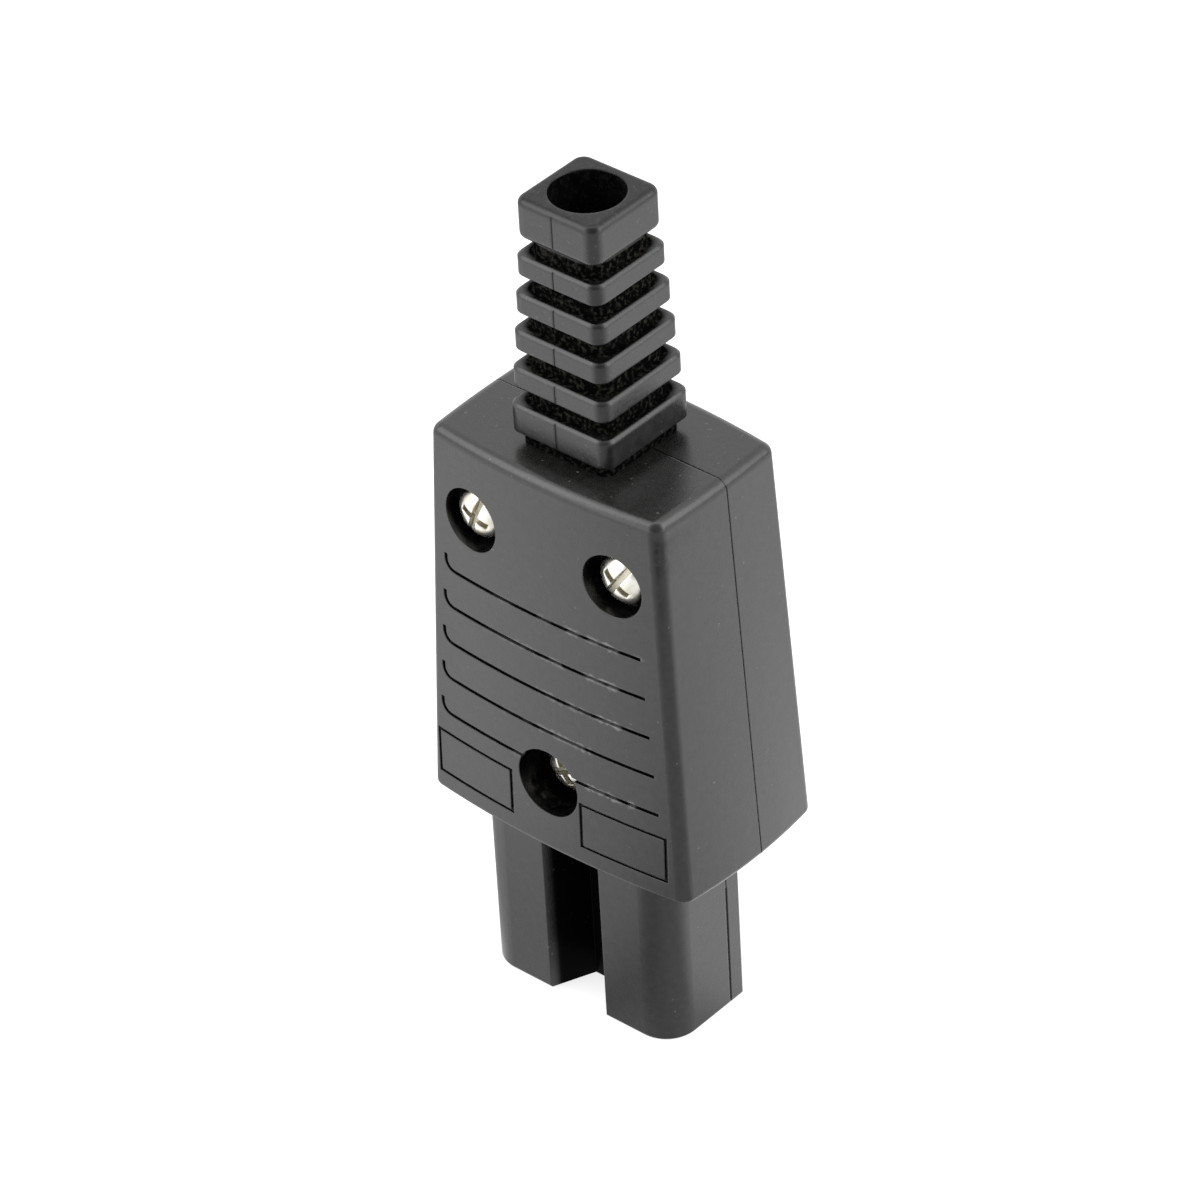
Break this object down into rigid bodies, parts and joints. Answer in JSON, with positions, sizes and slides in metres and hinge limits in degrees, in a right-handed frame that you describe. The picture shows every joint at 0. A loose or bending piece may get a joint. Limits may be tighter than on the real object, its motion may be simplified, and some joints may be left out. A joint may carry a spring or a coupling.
{
  "type": "power connector",
  "caption": "Straight rewirable power cord connector with a notched nose for flat pins, screwed half shells and a ribbed square cord guard.",
  "frame": {"origin": "middle of the nose's end face, which is the lowest face", "axes": "+Z from the nose to the cord guard, -Y the notched front shell, +X to the right seen from the front"},
  "size_m": [0.0336, 0.0212, 0.0906],
  "materials": {
    "shell_plastic": "fine satin texture",
    "guard_rubber": "matt",
    "nickel_plate": "nickel plated",
    "zinc_steel": "zinc plated",
    "contact_brass": "bright pressed",
    "spring_steel": "rolled",
    "clamp_plastic": "plain moulded"
  },
  "bodies": {
    "root": {"front_shell": "shell_plastic", "rear_shell": "shell_plastic", "cord_guard": "guard_rubber", "case_screw_left": "nickel_plate", "case_nut_left": "zinc_steel", "case_screw_right": "nickel_plate", "case_nut_right": "zinc_steel", "case_screw_nose": "nickel_plate", "case_nut_nose": "zinc_steel", "contact_line": "contact_brass", "contact_sleeve_line": "spring_steel", "terminal_screw_line": "zinc_steel", "contact_neutral": "contact_brass", "contact_sleeve_neutral": "spring_steel", "terminal_screw_neutral": "zinc_steel", "contact_earth": "contact_brass", "contact_sleeve_earth": "spring_steel", "terminal_screw_earth": "zinc_steel", "clamp_bar": "clamp_plastic", "clamp_screw_left": "zinc_steel", "clamp_screw_right": "zinc_steel"}
  },
  "joints": []
}
